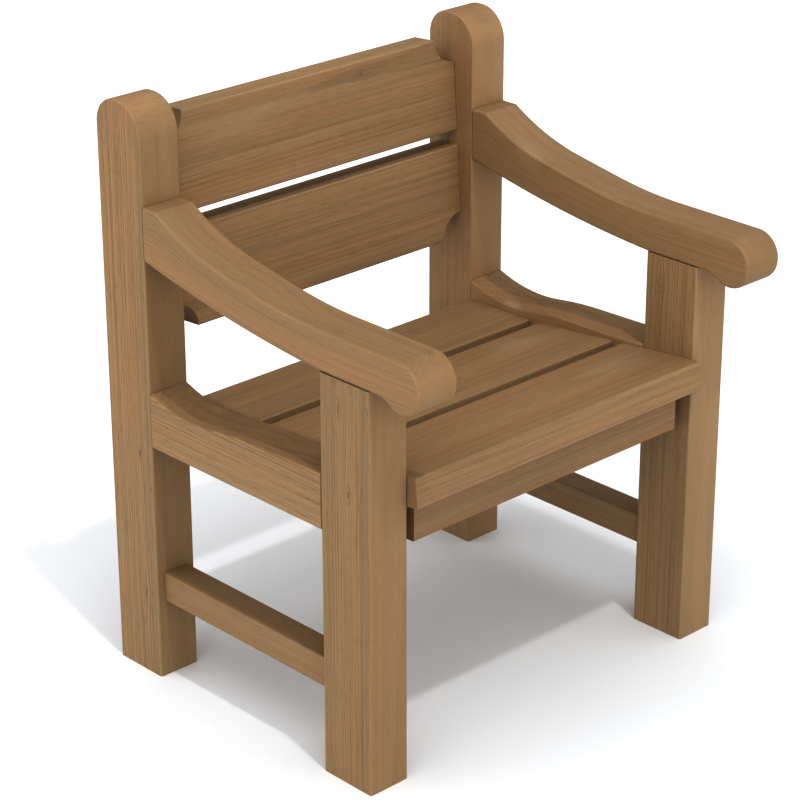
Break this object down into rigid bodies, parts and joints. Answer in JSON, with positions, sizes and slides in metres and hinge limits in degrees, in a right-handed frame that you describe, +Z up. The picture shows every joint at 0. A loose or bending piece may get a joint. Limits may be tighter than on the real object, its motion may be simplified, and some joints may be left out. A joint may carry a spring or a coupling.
{
  "type": "garden armchair",
  "caption": "Heavy timber garden armchair with dished plank seat, raked back boards with coved corners, and swept arms ending in a scroll nose.",
  "frame": {"origin": "on the floor, under the middle of the chair's width and depth", "axes": "+Z up, the sitter faces -Y, +X to the right as seen from the front"},
  "size_m": [0.72, 0.653, 0.892],
  "materials": {
    "upright_timber": "oiled, fine straight grain",
    "arm_timber": "oiled, fine straight grain",
    "rail_timber": "oiled, fine straight grain",
    "board_timber": "oiled, fine grain with small knots",
    "bearer_timber": "planed, hidden under the seat",
    "screw_steel": "zinc plated"
  },
  "bodies": {
    "root": {"front_leg_left": "upright_timber", "front_leg_right": "upright_timber", "rear_post_left": "upright_timber", "rear_post_right": "upright_timber", "arm_left": "arm_timber", "arm_right": "arm_timber", "side_rail_left": "rail_timber", "side_rail_right": "rail_timber", "side_stretcher_left": "rail_timber", "side_stretcher_right": "rail_timber", "back_board_upper": "board_timber", "back_board_lower": "board_timber", "seat_board_front": "board_timber", "seat_board_middle": "board_timber", "seat_board_rear": "board_timber", "front_apron": "rail_timber", "rear_rail": "rail_timber", "seat_bearer_left": "bearer_timber", "seat_bearer_right": "bearer_timber", "frame_screws": "screw_steel", "seat_board_screws": "screw_steel", "apron_screws": "screw_steel"}
  },
  "joints": []
}
